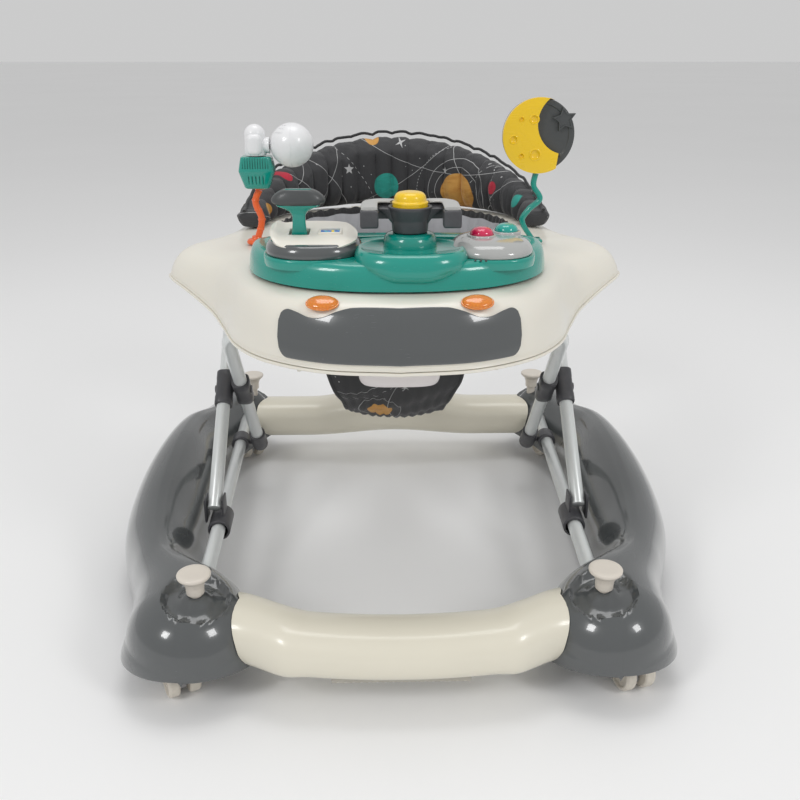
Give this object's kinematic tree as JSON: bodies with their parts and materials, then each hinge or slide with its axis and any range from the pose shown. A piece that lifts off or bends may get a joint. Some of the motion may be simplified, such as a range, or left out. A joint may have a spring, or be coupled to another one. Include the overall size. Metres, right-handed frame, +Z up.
{
  "type": "baby walker",
  "caption": "Wheeled baby walker with a rocker base, folding scissor legs, toy tray and padded sling seat.",
  "frame": {"origin": "on the floor under the middle of the base", "axes": "+Z up, -Y towards the walker's front (the toy side), +X to the right when looking at its front"},
  "size_m": [0.6844, 0.689, 0.5673],
  "materials": {
    "cream_plastic": "injection-moulded, glossy",
    "dark_gloss_plastic": "smoke-grey, high gloss",
    "painted_tube": "powder-coated steel tube",
    "dark_fittings": "satin charcoal",
    "brake_rubber": "matt",
    "knob_plastic": "beige, satin",
    "fork_plastic": "pale grey, satin",
    "lamp_orange": "orange, glossy",
    "white_plastic": "white, glossy",
    "teal_plastic": "teal, glossy",
    "orange_plastic": "orange, satin",
    "yellow_plastic": "yellow, glossy",
    "red_plastic": "raspberry red, glossy",
    "pale_console": "pale grey, glossy",
    "picture_print": "printed label on a drum",
    "module_case": "black",
    "space_fabric": "charcoal polyester with a small space print"
  },
  "bodies": {
    "base": {"front_rail": "cream_plastic", "rear_rail": "cream_plastic", "left_side_shell": "dark_gloss_plastic", "right_side_shell": "dark_gloss_plastic", "left_base_tube": "painted_tube", "right_base_tube": "painted_tube", "front_friction_strip": "brake_rubber", "left_rear_bracket": "dark_fittings", "right_rear_bracket": "dark_fittings"},
    "front_legs": {"front_leg_tube": "painted_tube", "left_front_leg_clip": "dark_fittings", "right_front_leg_clip": "dark_fittings", "left_leg_cap": "dark_fittings", "right_leg_cap": "dark_fittings"},
    "rear_legs": {"left_rear_leg_tube": "painted_tube", "right_rear_leg_tube": "painted_tube", "left_rear_leg_sleeve": "dark_fittings", "right_rear_leg_sleeve": "dark_fittings"},
    "slide_collars": {"left_slide_collar": "dark_fittings", "right_slide_collar": "dark_fittings"},
    "tray": {"tray_upper_shell": "cream_plastic", "tray_lower_shell": "cream_plastic", "bumper_panel": "dark_gloss_plastic", "left_lamp": "lamp_orange", "right_lamp": "lamp_orange", "toy_panel": "teal_plastic", "left_console": "dark_gloss_plastic", "console_plate": "cream_plastic", "right_console": "pale_console", "sound_module": "module_case", "seat_back_pad": "space_fabric", "seat_pouch": "space_fabric", "orange_stalk": "orange_plastic", "teal_box": "teal_plastic", "white_toy": "white_plastic", "teal_stalk": "teal_plastic"},
    "moon": {"moon_disc": "dark_fittings", "moon_crescent": "yellow_plastic"},
    "ball": {"white_ball": "white_plastic"},
    "latch_handle": {"release_handle": "white_plastic"},
    "steering": {"steering_wheel": "dark_fittings"},
    "horn": {"horn_button": "yellow_plastic"},
    "gear": {"gear_lever": "teal_plastic", "gear_grip": "dark_gloss_plastic"},
    "drum": {"picture_drum": "picture_print"},
    "red_push": {"red_button": "red_plastic"},
    "teal_push": {"teal_button": "teal_plastic"},
    "carriage_front_left": {"front_left_lift_knob": "knob_plastic"},
    "caster_front_left": {"front_left_caster_fork": "fork_plastic"},
    "wheels_front_left": {"front_left_wheel_pair": "knob_plastic"},
    "carriage_front_right": {"front_right_lift_knob": "knob_plastic"},
    "caster_front_right": {"front_right_caster_fork": "fork_plastic"},
    "wheels_front_right": {"front_right_wheel_pair": "knob_plastic"},
    "carriage_rear_left": {"rear_left_lift_knob": "knob_plastic"},
    "caster_rear_left": {"rear_left_caster_fork": "fork_plastic"},
    "wheels_rear_left": {"rear_left_wheel_pair": "knob_plastic"},
    "carriage_rear_right": {"rear_right_lift_knob": "knob_plastic"},
    "caster_rear_right": {"rear_right_caster_fork": "fork_plastic"},
    "wheels_rear_right": {"rear_right_wheel_pair": "knob_plastic"}
  },
  "joints": [
    {"name": "frame_fold", "type": "hinge", "parent": "base", "child": "front_legs", "pos_m": [0, 0.158, 0.078], "axis": [1, 0, 0], "range_deg": [0, 24]},
    {"name": "leg_crossing", "type": "hinge", "parent": "front_legs", "child": "rear_legs", "pos_m": [0, 0.04602, 0.20457], "axis": [1, 0, 0], "range_deg": [-48, 0]},
    {"name": "collar_pivot", "type": "hinge", "parent": "rear_legs", "child": "slide_collars", "pos_m": [0, -0.07334, 0.10335], "axis": [1, 0, 0], "range_deg": [0, 24]},
    {"name": "tray_pivot", "type": "hinge", "parent": "rear_legs", "child": "tray", "pos_m": [0, 0.15088, 0.29351], "axis": [1, 0, 0], "range_deg": [0, 24]},
    {"name": "wheel_turn", "type": "hinge", "parent": "tray", "child": "steering", "pos_m": [0.0115, -0.168, 0.4515], "axis": [0, 0, 1], "range_deg": [-60, 60]},
    {"name": "horn_press", "type": "slide", "parent": "steering", "child": "horn", "axis": [0, 0, -1], "range_m": [0, 0.0025], "stiffness_N_per_m": 400, "springref_m": -0.003},
    {"name": "gear_shift", "type": "hinge", "parent": "tray", "child": "gear", "pos_m": [-0.096, -0.168, 0.4406], "axis": [1, 0, 0], "range_deg": [-22, 22]},
    {"name": "drum_roll", "type": "hinge", "parent": "tray", "child": "drum", "pos_m": [-0.066, -0.168, 0.4453], "axis": [1, 0, 0], "continuous": true},
    {"name": "red_press", "type": "slide", "parent": "tray", "child": "red_push", "axis": [0, 0, -1], "range_m": [0, 0.0025], "stiffness_N_per_m": 400, "springref_m": -0.003},
    {"name": "teal_press", "type": "slide", "parent": "tray", "child": "teal_push", "axis": [0, 0, -1], "range_m": [0, 0.0025], "stiffness_N_per_m": 400, "springref_m": -0.003},
    {"name": "ball_spin", "type": "hinge", "parent": "tray", "child": "ball", "pos_m": [-0.115, -0.01, 0.517], "axis": [1, 0, 0], "continuous": true},
    {"name": "moon_turn", "type": "hinge", "parent": "tray", "child": "moon", "pos_m": [0.159, -0.01, 0.487], "axis": [0, 0, 1], "range_deg": [-45, 45]},
    {"name": "latch_pull", "type": "slide", "parent": "tray", "child": "latch_handle", "axis": [0, -1, 0], "range_m": [0, 0.01], "stiffness_N_per_m": 400, "springref_m": -0.01},
    {"name": "front_left_lift", "type": "slide", "parent": "base", "child": "carriage_front_left", "axis": [0, 0, 1], "range_m": [0, 0.02]},
    {"name": "front_left_swivel", "type": "hinge", "parent": "carriage_front_left", "child": "caster_front_left", "pos_m": [-0.2355, -0.269, 0.0466], "axis": [0, 0, 1], "continuous": true},
    {"name": "front_left_roll", "type": "hinge", "parent": "caster_front_left", "child": "wheels_front_left", "pos_m": [-0.22673, -0.28698, 0.02], "axis": [-0.8988, -0.4384, 0], "continuous": true},
    {"name": "front_right_lift", "type": "slide", "parent": "base", "child": "carriage_front_right", "axis": [0, 0, 1], "range_m": [0, 0.02]},
    {"name": "front_right_swivel", "type": "hinge", "parent": "carriage_front_right", "child": "caster_front_right", "pos_m": [0.2355, -0.269, 0.0466], "axis": [0, 0, 1], "continuous": true},
    {"name": "front_right_roll", "type": "hinge", "parent": "caster_front_right", "child": "wheels_front_right", "pos_m": [0.24034, -0.28841, 0.02], "axis": [-0.9703, -0.2419, 0], "continuous": true},
    {"name": "rear_left_lift", "type": "slide", "parent": "base", "child": "carriage_rear_left", "axis": [0, 0, 1], "range_m": [0, 0.02]},
    {"name": "rear_left_swivel", "type": "hinge", "parent": "carriage_rear_left", "child": "caster_rear_left", "pos_m": [-0.242, 0.292, 0.0466], "axis": [0, 0, 1], "continuous": true},
    {"name": "rear_left_roll", "type": "hinge", "parent": "caster_rear_left", "child": "wheels_rear_left", "pos_m": [-0.23111, 0.27523, 0.02], "axis": [-0.8387, -0.5446, 0], "continuous": true},
    {"name": "rear_right_lift", "type": "slide", "parent": "base", "child": "carriage_rear_right", "axis": [0, 0, 1], "range_m": [0, 0.02]},
    {"name": "rear_right_swivel", "type": "hinge", "parent": "carriage_rear_right", "child": "caster_rear_right", "pos_m": [0.242, 0.292, 0.0466], "axis": [0, 0, 1], "continuous": true},
    {"name": "rear_right_roll", "type": "hinge", "parent": "caster_rear_right", "child": "wheels_rear_right", "pos_m": [0.24851, 0.27309, 0.02], "axis": [-0.9455, -0.3256, 0], "continuous": true}
  ],
  "couplings": [
    {"joint": "leg_crossing", "follows": "frame_fold", "ratio": -2},
    {"joint": "collar_pivot", "follows": "frame_fold", "ratio": 1},
    {"joint": "tray_pivot", "follows": "frame_fold", "ratio": 1}
  ]
}
